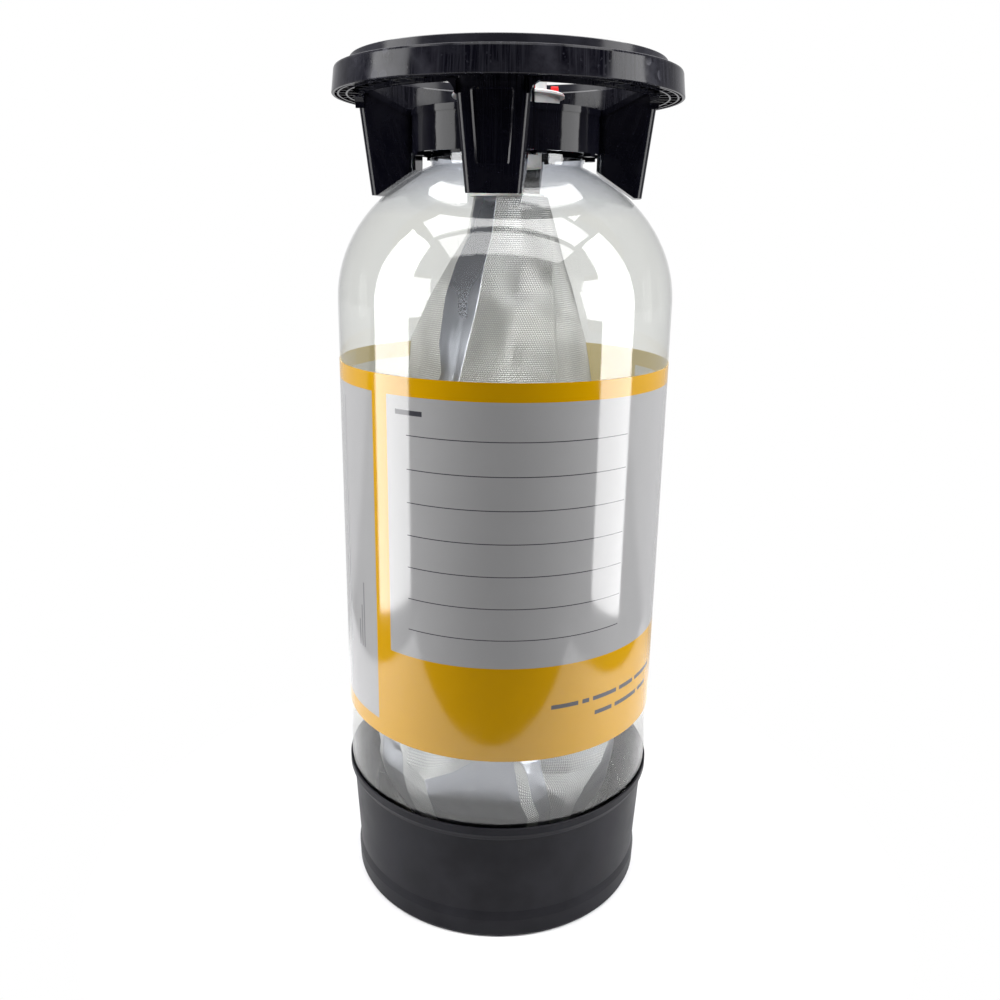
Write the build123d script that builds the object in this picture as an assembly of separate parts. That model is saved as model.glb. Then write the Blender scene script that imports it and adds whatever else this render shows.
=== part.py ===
from build123d import *
import math
import os

# One-way beer keg of the 20 litre class: a clear PET bottle with a film bag inside.
# Origin: centre of the face that the base cup stands on. +Z is up. Millimetres.
# The four legs of the handle lie on the X and Y axes.

# ---- Driving dimensions --------------------------------------------------------------------
BOTTLE_R = 119.0
BOTTLE_WALL = 1.0
SHOULDER_Z = 455.0
SHOULDER_RISE = 101.0
HEEL_TOP_Z = 100.0
HEEL_R = 115.2
HEEL_Z = 88.0
DOME_R = 112.0
DOME_Z = 62.0
BOTTLE_BOTTOM_Z = 9.4
STEP_R = 52.5
STEP_TOP_Z = 566.0
STEP_EDGE_R = 3.0
STEP_RIB_ZS = (548.5, 554.5)
NECK_R = 32.6
NECK_BORE_R = 30.6
NECK_TOP_Z = 588.0
SUPPORT_RING_R = 38.5
SUPPORT_RING_Z = 573.0
SNAP_BEAD_R = 33.2
SNAP_BEAD_Z = 579.0

CUP_RIM_R = 120.3
CUP_RIM_Z = 97.0
CUP_FOOT_R = 114.6
CUP_FOOT_TOP_Z = 15.0
CUP_WALL = 1.8
CUP_WALL_LOW_R = 113.8
CUP_WALL_LOW_Z = 22.0
CUP_FLOOR_Z = 7.0
CUP_FLOOR_THICK = 2.0
CUP_RIBS = 12
SEAT_R = 70.0
STACK_RECESS_R = 108.5

LABEL_LOW_Z = 150.5
LABEL_HIGH_Z = 414.0
LABEL_GAP = 0.05
LABEL_THICK = 0.3

BAG_FILM = 1.0
SPOUT_LOW_Z = 526.0
SPOUT_FLANGE_R = 26.0
SPOUT_HOSE_R = 11.6
SPOUT_TOP_Z = 544.6
FLOW_TUBE_R = 6.4
FLOW_TUBE_WALL = 1.2
FLOW_TUBE_LOW_Z = 62.0
FLOW_TUBE_TOP_Z = 534.0

RING_LOW_R = 119.0
RING_TOP_R = 117.3
RING_BORE_R = 99.5
RING_LOW_Z = 589.0
RING_TOP_Z = 605.6
RING_WALL = 2.0
RING_RIBS = 56
RING_RIB_START = 2.05
RING_WEB_RS = (108.4, 114.0)
LIP_R = 106.5
LIP_TOP_Z = 612.0

COLLAR_R = 66.0
COLLAR_WALL = 2.2
COLLAR_LOW_Z = 553.0
COLLAR_TOP_Z = 580.4
COLLAR_FLOOR_R = 39.6
LEG_WALL = 2.2
LEG_TOP_Z = 598.0
LEG_LOW_Z = 525.5
LEG_TOP_R = 101.3
LEG_LOW_R = 93.3
LEG_TOP_WIDTH = 47.4
LEG_LOW_WIDTH = 35.0
LEG_INNER_R = 62.0
LEG_FILLET_R = 7.0
LEG_CORNER_R = 6.0
PANEL_LOW_Z = 541.6
PANEL_TOP_Z = 584.5
PANEL_LOW_HALF = 10.2
PANEL_TOP_HALF = 13.2
PANEL_DEPTH = 1.0
PANEL_DRAFT = 1.1
PANEL_CORNER_R = 2.4
RING_CUT_R = 98.9
RING_CUT_Z = 587.3
COLLAR_CUT_R = 67.3
COLLAR_CUT_LOW_Z = 550.5
COLLAR_CUT_TOP_Z = 581.0

FLANGE_R = 38.4
FLANGE_LOW_Z = 590.0
FLANGE_TOP_Z = 592.4
SKIRT_R = 35.2
SKIRT_LOW_Z = 576.5
TIER_R = 26.0
TIER_BORE_R = 21.5
TIER_TOP_Z = 603.0
LUG_R = 28.5
LUG_LOW_Z = 599.6
CLOSURE_SEAT_R = 17.0

CAGE_R = 23.8
CAGE_BORE_R = 21.8
CAGE_FLOOR_Z = 548.0
CAGE_FLOOR_THICK = 3.0
BEER_TUBE_R = 9.0
BEER_TUBE_BORE_R = 7.0
BEER_TUBE_LOW_Z = 530.6
BEER_TUBE_TOP_Z = 559.5
O_RING_R = 0.5
LOW_O_RING_Z = 537.7
TOP_O_RING_Z = 556.3
RUNNING_GAP = 0.05
SEAL_GAP = 0.1

GAS_SLEEVE_R = 11.0
GAS_SLEEVE_LOW_Z = 553.6
GAS_DISC_R = 20.3
GAS_DISC_LOW_Z = 583.0
GAS_DISC_TOP_Z = 585.8
GAS_HUB_R = 16.6
GAS_HUB_TOP_Z = 591.5
GAS_BORE_R = 6.0
GAS_LEDGE_Z = 588.6
PLUNGER_STEM_R = 3.2
PLUNGER_LOW_Z = 562.0
PLUNGER_DISC_R = 8.0
PLUNGER_DISC_LOW_Z = 584.5
PLUNGER_DISC_TOP_Z = 587.0
PLUNGER_HEAD_R = 5.9
PLUNGER_TOP_Z = 592.2
RETAINER_LOW_Z = 564.8
RETAINER_TOP_Z = 566.5

RELIEF_X = 28.4
RELIEF_STEM_R = 1.1
RELIEF_FOOT_R = 2.0
RELIEF_FOOT_LOW_Z = 587.5
RELIEF_FOOT_TOP_Z = 588.7
RELIEF_POCKET_R = 2.3
RELIEF_POCKET_Z = 591.1
RELIEF_HEAD_X = 31.5
RELIEF_HEAD_LOW_Z = 594.2
RELIEF_HEAD_TOP_Z = 597.2


# ---- Helpers -------------------------------------------------------------------------------
def turned(points):
    """Solid of revolution from a closed outline of (radius, height) points."""
    outline = Polyline(*[(r, 0, z) for r, z in points], close=True)
    return revolve(make_face(outline), Axis.Z)


def ring(inner_r, outer_r, low_z, high_z):
    """Plain ring with a square section."""
    points = [(inner_r, low_z), (outer_r, low_z), (outer_r, high_z), (inner_r, high_z)]
    return turned(points)


def o_ring(middle_r, section_r, z):
    """Ring with a round section."""
    return Pos(0, 0, z) * Torus(middle_r, section_r)


def coil_spring(middle_r, wire_r, low_z, high_z, turns):
    """Open coil that stands between two heights."""
    rise = high_z - low_z - 2 * wire_r
    start_z = low_z + wire_r
    path = Pos(0, 0, start_z) * Helix(pitch=rise / turns, height=rise, radius=middle_r)
    section = Plane(origin=path @ 0, z_dir=path % 0) * Circle(wire_r)
    return sweep(section, path=path, is_frenet=True)


def save(node, shape):
    """Write one sub-part to its STEP file."""
    shape.label = node
    export_step(shape, f"parts/{node}.step")


# ---- PET bottle ----------------------------------------------------------------------------
def bottle_outline(inset):
    """Solid bounded by the bottle's outer surface, moved inwards by the inset."""
    shoulder_r = BOTTLE_R - inset
    rise = SHOULDER_RISE - inset
    step_r = STEP_R - inset
    step_turn = STEP_EDGE_R - inset / 2
    step_low_z = SHOULDER_Z + rise * math.sqrt(1 - (step_r / shoulder_r) ** 2)
    dome_low_z = BOTTLE_BOTTOM_Z + inset
    step_top = STEP_TOP_Z - inset
    neck_r = NECK_R if inset == 0 else NECK_BORE_R
    neck_cone = 4.0
    dome = EllipticalCenterArc(
        (0, DOME_Z), DOME_R - inset, DOME_Z - dome_low_z, start_angle=-90, arc_size=90
    )
    heel = Polyline(
        (DOME_R - inset, DOME_Z), (HEEL_R - inset, HEEL_Z),
        (shoulder_r, HEEL_TOP_Z), (shoulder_r, SHOULDER_Z),
    )
    top_angle = math.degrees(math.acos(step_r / shoulder_r))
    shoulder = EllipticalCenterArc(
        (0, SHOULDER_Z), shoulder_r, rise, start_angle=0, arc_size=top_angle
    )
    step_side = Line((step_r, step_low_z), (step_r, step_top - step_turn))
    step_edge = RadiusArc(
        (step_r, step_top - step_turn), (step_r - step_turn, step_top), -step_turn
    )
    neck = Polyline(
        (step_r - step_turn, step_top), (neck_r + neck_cone, step_top),
        (neck_r, step_top + neck_cone), (neck_r, NECK_TOP_Z), (0, NECK_TOP_Z), (0, dome_low_z),
    )
    edges = [dome, heel, shoulder, step_side, step_edge, neck]
    face = make_face(Curve() + edges)
    return revolve(Plane.XZ * face, Axis.Z)


def make_bottle():
    outside = bottle_outline(0)
    root = 1.0
    support_ring = ring(NECK_R - root, SUPPORT_RING_R, SUPPORT_RING_Z, SUPPORT_RING_Z + 2.5)
    snap_bead = ring(NECK_R - root, SNAP_BEAD_R, SNAP_BEAD_Z, SNAP_BEAD_Z + 1.8)
    step_ribs = [ring(STEP_R - root, STEP_R + 0.9, z, z + 1.6) for z in STEP_RIB_ZS]
    outside = outside + support_ring + snap_bead + step_ribs
    return outside - bottle_outline(BOTTLE_WALL)


# ---- Base cup ------------------------------------------------------------------------------
def make_base_cup():
    """Cup with a foot, a recess that the next keg's ring enters, and a ribbed seat."""
    floor_top_z = CUP_FLOOR_Z + CUP_FLOOR_THICK
    foot_edge = 2.6
    rim_edge = 0.6
    outline = [
        (0, CUP_FLOOR_Z), (STACK_RECESS_R, CUP_FLOOR_Z), (STACK_RECESS_R, 0),
        (CUP_FOOT_R - foot_edge, 0), (CUP_FOOT_R - 0.8, 0.8), (CUP_FOOT_R, foot_edge),
        (CUP_FOOT_R + 0.4, CUP_FOOT_TOP_Z), (CUP_FOOT_R - 0.1, CUP_FOOT_TOP_Z + 3.5),
        (CUP_WALL_LOW_R, CUP_WALL_LOW_Z), (CUP_RIM_R - 2.9, CUP_RIM_Z - 11.0),
        (CUP_RIM_R - 1.7, CUP_RIM_Z - 8.4), (CUP_RIM_R, CUP_RIM_Z - 5.5),
        (CUP_RIM_R, CUP_RIM_Z - rim_edge), (CUP_RIM_R - rim_edge, CUP_RIM_Z),
        (BOTTLE_R + 0.2, CUP_RIM_Z), (HEEL_R + 0.4, CUP_RIM_Z - 10.0),
        (CUP_WALL_LOW_R - CUP_WALL, CUP_WALL_LOW_Z),
        (CUP_WALL_LOW_R - CUP_WALL - 0.8, floor_top_z), (0, floor_top_z),
    ]
    root_z = CUP_FLOOR_Z + 1.0
    seat_top_z = 20.7
    seat_wall = 2.0
    rib_end_r = 111.0
    rib_thick = 1.6
    rib_outline = [
        (SEAT_R + 1, root_z), (rib_end_r, root_z), (rib_end_r, 41.0), (104.0, 41.0),
        (90.0, 29.4), (SEAT_R + 1, seat_top_z - 0.4),
    ]
    rib_face = make_face(Polyline(*rib_outline, close=True))
    rib = Pos(0, rib_thick / 2, 0) * extrude(Plane.XZ * rib_face, rib_thick)
    step = 360 / CUP_RIBS
    ribs = [Rot(0, 0, step * (i + 0.5)) * rib for i in range(CUP_RIBS)]
    seat = ring(SEAT_R, SEAT_R + seat_wall, root_z, seat_top_z)
    return turned(outline) + seat + ribs


# ---- Label and bag -------------------------------------------------------------------------
def make_label():
    inner_r = BOTTLE_R + LABEL_GAP
    return ring(inner_r, inner_r + LABEL_THICK, LABEL_LOW_Z, LABEL_HIGH_Z)


def make_bag():
    """Film bag, hanging from the spout and spreading over the bottle's dome."""
    outer = [
        (28.0, SPOUT_LOW_Z), (29.0, 520.0), (38.0, 496.0), (52.0, 462.0), (68.0, 410.0),
        (82.0, 340.0), (92.0, 250.0), (98.0, 160.0), (96.0, 100.0), (84.0, 60.0),
        (60.0, 40.0), (30.0, 34.0), (0, 34.0),
    ]
    side_low_z = 70.0
    inner = []
    for r, z in outer[1:]:
        lift = BAG_FILM if z < side_low_z else 0
        inner.append((max(r - BAG_FILM, 0), z + lift))
    top_z = SPOUT_LOW_Z - BAG_FILM
    outside = turned([(0, SPOUT_LOW_Z), *outer])
    inside = turned([(0, top_z), (outer[0][0] - BAG_FILM, top_z), *inner])
    spout_hole = ring(0, BEER_TUBE_R + 0.2, top_z - BAG_FILM, SPOUT_LOW_Z + BAG_FILM)
    return outside - inside - spout_hole


def make_bag_spout():
    """Spout welded to the bag's neck: its hose end slides over the beer tube."""
    tube_bore_r = FLOW_TUBE_R + RUNNING_GAP
    hose_bore_r = BEER_TUBE_R + RUNNING_GAP
    stem_r = hose_bore_r + 0.05
    outline = [
        (tube_bore_r, SPOUT_LOW_Z - 8.0), (stem_r, SPOUT_LOW_Z - 8.0), (stem_r, SPOUT_LOW_Z),
        (SPOUT_FLANGE_R, SPOUT_LOW_Z), (SPOUT_FLANGE_R, SPOUT_LOW_Z + 1.6),
        (SPOUT_HOSE_R, SPOUT_LOW_Z + 3.0), (SPOUT_HOSE_R, SPOUT_TOP_Z),
        (hose_bore_r, SPOUT_TOP_Z), (hose_bore_r, SPOUT_LOW_Z + 4.0),
        (tube_bore_r, SPOUT_LOW_Z + 4.0),
    ]
    return turned(outline)


def make_flow_tube():
    """Tube down the middle of the bag, slotted so that beer enters all along it."""
    slot_count = 12
    slot_pitch = 36.0
    tube = ring(FLOW_TUBE_R - FLOW_TUBE_WALL, FLOW_TUBE_R, FLOW_TUBE_LOW_Z, FLOW_TUBE_TOP_Z)
    slots = []
    for i in range(slot_count):
        z = FLOW_TUBE_LOW_Z + 28.0 + slot_pitch * i
        slots.append(Rot(0, 0, 90 * i) * Pos(FLOW_TUBE_R, 0, z) * Box(6, 3.0, 14.0))
    return tube - slots


# ---- Handle --------------------------------------------------------------------------------
def make_ring():
    """Carrying ring: an upside-down channel with a stacking lip, two webs and radial ribs."""
    plate_z = RING_TOP_Z - RING_WALL
    bore_low_z = RING_LOW_Z - 1.5
    edge = 0.5
    lip_thick = 2.2
    outline = [
        (RING_BORE_R, bore_low_z), (RING_BORE_R + RING_WALL, bore_low_z),
        (RING_BORE_R + RING_WALL, plate_z), (RING_TOP_R - RING_WALL, plate_z),
        (RING_LOW_R - RING_WALL, RING_LOW_Z), (RING_LOW_R - edge, RING_LOW_Z),
        (RING_LOW_R, RING_LOW_Z + edge), (RING_TOP_R, RING_TOP_Z - 1.6),
        (RING_TOP_R - edge, RING_TOP_Z - edge), (RING_TOP_R - 1.6, RING_TOP_Z),
        (LIP_R, RING_TOP_Z), (LIP_R, LIP_TOP_Z - 0.4), (LIP_R - 0.4, LIP_TOP_Z),
        (LIP_R - lip_thick + 0.4, LIP_TOP_Z), (LIP_R - lip_thick, LIP_TOP_Z - 0.4),
        (LIP_R - lip_thick, RING_TOP_Z + 0.4), (RING_BORE_R + 1.0, RING_TOP_Z + 0.4),
        (RING_BORE_R, RING_TOP_Z - 0.6),
    ]
    web_thick = 1.2
    web_low_z = RING_LOW_Z + 0.3
    webs = [ring(r, r + web_thick, web_low_z, plate_z + edge) for r in RING_WEB_RS]
    web_floor = ring(RING_WEB_RS[0], RING_WEB_RS[1], RING_LOW_Z + 3.0, RING_LOW_Z + 4.5)
    rib_low_z = RING_LOW_Z + 0.7
    rib_high_z = plate_z + edge
    rib_inner_r = RING_BORE_R + 1.0
    rib_outer_r = RING_TOP_R - 1.0
    rib_middle = ((rib_inner_r + rib_outer_r) / 2, 0, (rib_low_z + rib_high_z) / 2)
    rib = Pos(*rib_middle) * Box(rib_outer_r - rib_inner_r, 1.1, rib_high_z - rib_low_z)
    step = 360 / RING_RIBS
    ribs = [Rot(0, 0, RING_RIB_START + step * i) * rib for i in range(RING_RIBS)]
    return turned(outline) + webs + web_floor + ribs


def slab(points):
    """Slab across the +X leg, with an outline of (radius, height) points."""
    half = 40.0
    return Pos(0, half, 0) * extrude(Plane.XZ * make_face(Polyline(*points, close=True)), 2 * half)


def leg_section(z, inner_r, outer_r, width, corner):
    """Rounded rectangle that reaches out along +X at one height."""
    middle = (inner_r + outer_r) / 2
    rectangle = RectangleRounded(outer_r - inner_r, width, corner)
    return Plane(origin=(middle, 0, z)) * rectangle


def leg_core(inset, inner_r, low_z):
    """Tapered leg between two rounded sections; the inset gives its hollow."""
    slope_r = (LEG_TOP_R - LEG_LOW_R) / (LEG_TOP_Z - LEG_LOW_Z)
    slope_w = (LEG_TOP_WIDTH - LEG_LOW_WIDTH) / (LEG_TOP_Z - LEG_LOW_Z)
    corner = LEG_CORNER_R - inset
    sections = []
    for z in (low_z, LEG_TOP_Z):
        outer_r = LEG_LOW_R + slope_r * (z - LEG_LOW_Z) - inset
        width = LEG_LOW_WIDTH + slope_w * (z - LEG_LOW_Z) - 2 * inset
        sections.append(leg_section(z, inner_r, outer_r, width, corner))
    return loft(sections)


def under_leg(drop):
    """Wedge under the leg: it follows the bottle's shoulder, lowered by the drop."""
    inner_r = 50.0
    outer_r = 110.0
    bottom_z = 480.0
    points = [
        (inner_r, 550.4 - drop), (88.2, LEG_LOW_Z - drop), (outer_r, LEG_LOW_Z - drop),
        (outer_r, bottom_z), (inner_r, bottom_z),
    ]
    return slab(points)


def above_leg(lift):
    """Wedge over the leg's sides: they rise from the collar's top to the ring's bore."""
    inner_r = 40.0
    top_z = 640.0
    points = [
        (inner_r, COLLAR_TOP_Z + lift), (COLLAR_R - 0.5, COLLAR_TOP_Z + lift),
        (RING_BORE_R + 0.2, LEG_TOP_Z + lift), (RING_BORE_R + 0.2, top_z), (inner_r, top_z),
    ]
    return slab(points)


def leg_width(z):
    share = (z - LEG_LOW_Z) / (LEG_TOP_Z - LEG_LOW_Z)
    return LEG_LOW_WIDTH + share * (LEG_TOP_WIDTH - LEG_LOW_WIDTH)


def panel_section(leg_face, height):
    """Outline of the pressed panel at a height over the leg's face; it widens outwards."""
    grow = height * PANEL_DRAFT
    low = PANEL_LOW_Z - LEG_LOW_Z - grow
    top = PANEL_TOP_Z - LEG_LOW_Z + grow
    corners = [
        (-PANEL_LOW_HALF - grow, low), (PANEL_LOW_HALF + grow, low),
        (PANEL_TOP_HALF + grow, top), (-PANEL_TOP_HALF - grow, top),
    ]
    face = make_face(Polyline(*corners, close=True))
    face = fillet(face.vertices(), PANEL_CORNER_R + grow)
    return leg_face.offset(height) * face


def pressed_panel():
    """The shallow panel pressed into the leg's face, as the solid that it removes."""
    lean = math.atan2(LEG_TOP_R - LEG_LOW_R, LEG_TOP_Z - LEG_LOW_Z)
    outward = (math.cos(lean), 0, -math.sin(lean))
    leg_face = Plane(origin=(LEG_LOW_R, 0, LEG_LOW_Z), x_dir=(0, 1, 0), z_dir=outward)
    return loft([panel_section(leg_face, -PANEL_DEPTH), panel_section(leg_face, PANEL_DEPTH)])


def top_fillets():
    """Concave corners that widen the leg's face where it runs into the ring's underside."""
    corner_z = RING_LOW_Z - 1.0
    half = leg_width(corner_z - LEG_FILLET_R / 2) / 2 - 1.0
    depth = 6.0
    middle_r = RING_BORE_R - 1.7
    square = Box(depth, LEG_FILLET_R + 1.0, LEG_FILLET_R + 1.0)
    bite = Rot(0, 90, 0) * Cylinder(LEG_FILLET_R, depth + 2)
    fillets = []
    for side in (-1, 1):
        block_y = side * (half + (LEG_FILLET_R + 1.0) / 2)
        block_z = corner_z - (LEG_FILLET_R - 1.0) / 2
        bite_y = side * (half + 1.0 + LEG_FILLET_R)
        block = Pos(middle_r, block_y, block_z) * square
        fillets.append(block - Pos(middle_r, bite_y, corner_z - LEG_FILLET_R) * bite)
    return fillets


def make_leg():
    """Outer shape of one leg: a tapered box with a rim along its upper edges."""
    low_z = LEG_LOW_Z - 2
    rim_proud = 0.9
    rim_width = 4.0
    body = leg_core(0, LEG_INNER_R, low_z) - under_leg(0) - above_leg(0)
    rim = leg_core(-rim_proud, LEG_INNER_R, low_z) - under_leg(0) - above_leg(0)
    rim = rim & above_leg(-rim_width)
    return body + rim + top_fillets() - pressed_panel()


def leg_hollow():
    """Space inside one leg, open to the well above the collar's floor."""
    floor_thick = 2.0
    core = leg_core(LEG_WALL, LEG_INNER_R + 2.0, LEG_LOW_Z - 2)
    core = core - under_leg(-floor_thick)
    doorway = Pos(60, 0, 590) * Box(20, LEG_LOW_WIDTH - 1.0, 42.0)
    return core + doorway


def make_collar_parts():
    """Floor plate on the bottle's step, snap tongues around the neck, and small low tabs."""
    floor = ring(COLLAR_FLOOR_R, COLLAR_R - 0.5, STEP_TOP_Z, STEP_TOP_Z + 2.4)
    tongue_width = 9.0
    tongue = Pos(COLLAR_FLOOR_R + 0.3, 0, STEP_TOP_Z + 5.6) * Box(1.4, tongue_width, 11.2)
    hook_z = SUPPORT_RING_Z + 3.6
    tongue += Pos(COLLAR_FLOOR_R - 0.5, 0, hook_z) * Box(3.0, tongue_width, 1.4)
    tongues = [Rot(0, 0, 45 * i + 22.5) * tongue for i in range(8)]
    tab = Pos(COLLAR_R - 3.2, 0, COLLAR_LOW_Z - 0.5) * Box(5.0, 7.0, 3.0)
    tab_turn = 25
    tabs = [Rot(0, 0, 90 * i + side) * tab for i in range(4) for side in (-tab_turn, tab_turn)]
    return [floor, *tongues, *tabs]


def make_handle():
    """Carrying ring on four hollow legs around a collar, moulded as one piece."""
    leg = make_leg()
    legs = [Rot(0, 0, 90 * i) * leg for i in range(4)]
    hollows = [Rot(0, 0, 90 * i) * leg_hollow() for i in range(4)]
    inner_r = COLLAR_R - COLLAR_WALL
    collar = ring(inner_r, COLLAR_R, COLLAR_LOW_Z, COLLAR_TOP_Z)
    band = ring(inner_r, COLLAR_R + 0.9, COLLAR_TOP_Z - 4.0, COLLAR_TOP_Z)
    shell = collar + band + legs - hollows
    return make_ring() + shell + make_collar_parts()


def split_handle():
    """The moulding as its ring, collar and legs, which meet on plain cuts."""
    handle = make_handle()
    ring_zone = ring(RING_CUT_R, RING_LOW_R + 5.0, RING_CUT_Z, LIP_TOP_Z + 1.0)
    collar_zone = turned([
        (0, COLLAR_CUT_LOW_Z), (COLLAR_CUT_R, COLLAR_CUT_LOW_Z),
        (COLLAR_CUT_R, COLLAR_CUT_TOP_Z), (0, COLLAR_CUT_TOP_Z),
    ])
    pieces = {"handle_ring": handle & ring_zone, "handle_collar": handle & collar_zone}
    legs = (handle - ring_zone - collar_zone).solids()
    for side, x, y in (("front", 0, -1), ("right", 1, 0), ("back", 0, 1), ("left", -1, 0)):
        leg = max(legs, key=lambda solid: solid.center().X * x + solid.center().Y * y)
        pieces["handle_leg_" + side] = leg
    return pieces


# ---- Closure and valve ---------------------------------------------------------------------
def make_closure():
    """White closure: a flange and skirt on the neck, and a tier that the coupler locks on."""
    seat_rib_r = CAGE_R + 0.2
    skirt_bore_r = NECK_R + 0.8
    bead_z = SNAP_BEAD_Z - 1.0
    outline = [
        (CLOSURE_SEAT_R, FLANGE_LOW_Z), (seat_rib_r, FLANGE_LOW_Z),
        (seat_rib_r, FLANGE_LOW_Z - 7.0), (seat_rib_r + 1.8, FLANGE_LOW_Z - 7.0),
        (seat_rib_r + 1.8, FLANGE_LOW_Z), (skirt_bore_r, FLANGE_LOW_Z),
        (skirt_bore_r, bead_z + 0.4), (skirt_bore_r - 0.6, bead_z),
        (skirt_bore_r - 0.6, bead_z - 0.6), (skirt_bore_r + 0.2, SKIRT_LOW_Z),
        (SKIRT_R - 0.3, SKIRT_LOW_Z), (SKIRT_R, SKIRT_LOW_Z + 0.7),
        (SKIRT_R, FLANGE_LOW_Z - 0.6), (SKIRT_R + 0.6, FLANGE_LOW_Z),
        (FLANGE_R - 0.5, FLANGE_LOW_Z), (FLANGE_R, FLANGE_LOW_Z + 0.5),
        (FLANGE_R, FLANGE_TOP_Z - 0.7), (FLANGE_R - 0.7, FLANGE_TOP_Z),
        (TIER_R, FLANGE_TOP_Z), (TIER_R, TIER_TOP_Z - 0.6), (TIER_R - 0.6, TIER_TOP_Z),
        (TIER_BORE_R + 0.8, TIER_TOP_Z), (TIER_BORE_R, TIER_TOP_Z - 0.8),
        (TIER_BORE_R, FLANGE_TOP_Z), (CLOSURE_SEAT_R, FLANGE_TOP_Z),
    ]
    cap = turned(outline)
    lug_ring = ring(TIER_R - 0.5, LUG_R, LUG_LOW_Z, LUG_LOW_Z + 2.6)
    window = Pos(LUG_R, 0, LUG_LOW_Z) * Box(24, 18, 8)
    lugs = [lug_ring & (Rot(0, 0, 120 * i + 60) * window) for i in range(3)]
    vent = Pos(RELIEF_X, 0, FLANGE_LOW_Z) * Cylinder(RELIEF_STEM_R + RUNNING_GAP, 12)
    pocket_height = 4.6
    pocket_middle_z = RELIEF_POCKET_Z + pocket_height / 2
    pocket = Pos(RELIEF_X, 0, pocket_middle_z) * Cylinder(RELIEF_POCKET_R, pocket_height)
    return cap + lugs - vent - pocket


def grooved_tube(low_z, high_z, groove_z):
    """Outer side of the beer tube between two heights, with one O-ring groove in it."""
    low_groove_z = groove_z - 0.7
    high_groove_z = groove_z + 0.7
    groove_r = BEER_TUBE_R - 2 * O_RING_R
    return [
        (BEER_TUBE_R, low_z), (BEER_TUBE_R, low_groove_z), (groove_r, low_groove_z),
        (groove_r, high_groove_z), (BEER_TUBE_R, high_groove_z), (BEER_TUBE_R, high_z),
    ]


def make_valve_body():
    """Cage that hangs in the neck, with the beer tube through its floor."""
    floor_low_z = CAGE_FLOOR_Z - CAGE_FLOOR_THICK
    edge = 0.4
    outline = [
        (BEER_TUBE_BORE_R, BEER_TUBE_LOW_Z),
        *grooved_tube(BEER_TUBE_LOW_Z, floor_low_z, LOW_O_RING_Z),
        (CAGE_R, floor_low_z), (CAGE_R, NECK_TOP_Z), (CAGE_BORE_R, NECK_TOP_Z),
        (CAGE_BORE_R, CAGE_FLOOR_Z),
        *grooved_tube(CAGE_FLOOR_Z, BEER_TUBE_TOP_Z - edge, TOP_O_RING_Z),
        (BEER_TUBE_R - edge, BEER_TUBE_TOP_Z), (BEER_TUBE_BORE_R, BEER_TUBE_TOP_Z),
    ]
    window = Pos(CAGE_R - 1, 0, CAGE_FLOOR_Z + 12.0) * Box(8, 18, 14)
    windows = [Rot(0, 0, 90 * i + 45) * window for i in range(4)]
    return turned(outline) - windows


def make_gas_valve():
    """Ring valve with a sleeve that slides on the beer tube."""
    sleeve_bore_r = BEER_TUBE_R + RUNNING_GAP
    edge = 0.5
    outline = [
        (sleeve_bore_r, GAS_SLEEVE_LOW_Z), (GAS_SLEEVE_R, GAS_SLEEVE_LOW_Z),
        (GAS_SLEEVE_R, GAS_DISC_LOW_Z), (GAS_DISC_R, GAS_DISC_LOW_Z),
        (GAS_DISC_R, GAS_DISC_TOP_Z), (GAS_HUB_R, GAS_DISC_TOP_Z),
        (GAS_HUB_R, GAS_HUB_TOP_Z - edge), (GAS_HUB_R - edge, GAS_HUB_TOP_Z),
        (GAS_BORE_R, GAS_HUB_TOP_Z), (GAS_BORE_R, GAS_LEDGE_Z), (sleeve_bore_r, GAS_LEDGE_Z),
    ]
    return turned(outline)


def make_beer_plunger():
    """Centre valve that the coupler's pin presses down."""
    edge = 0.6
    outline = [
        (0, PLUNGER_LOW_Z), (PLUNGER_STEM_R - edge, PLUNGER_LOW_Z),
        (PLUNGER_STEM_R, PLUNGER_LOW_Z + edge), (PLUNGER_STEM_R, PLUNGER_DISC_LOW_Z),
        (PLUNGER_DISC_R, PLUNGER_DISC_LOW_Z), (PLUNGER_DISC_R, PLUNGER_DISC_TOP_Z),
        (PLUNGER_HEAD_R, PLUNGER_DISC_TOP_Z), (PLUNGER_HEAD_R, PLUNGER_TOP_Z - edge),
        (PLUNGER_HEAD_R - edge, PLUNGER_TOP_Z), (0, PLUNGER_TOP_Z),
    ]
    return turned(outline)


def make_spring_retainer():
    """Disc in the valve's sleeve: it guides the plunger, and beer passes its six ways."""
    disc = ring(PLUNGER_STEM_R + RUNNING_GAP, BEER_TUBE_R, RETAINER_LOW_Z, RETAINER_TOP_Z)
    way = Pos(6.2, 0, (RETAINER_LOW_Z + RETAINER_TOP_Z) / 2) * Box(2.4, 3.6, 4.0)
    ways = [Rot(0, 0, 60 * i) * way for i in range(6)]
    return disc - ways


def upright(radius, low_z, high_z):
    """Upright round bar on the relief plug's axis."""
    middle_z = (low_z + high_z) / 2
    return Pos(RELIEF_X, 0, middle_z) * Cylinder(radius, high_z - low_z)


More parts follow.
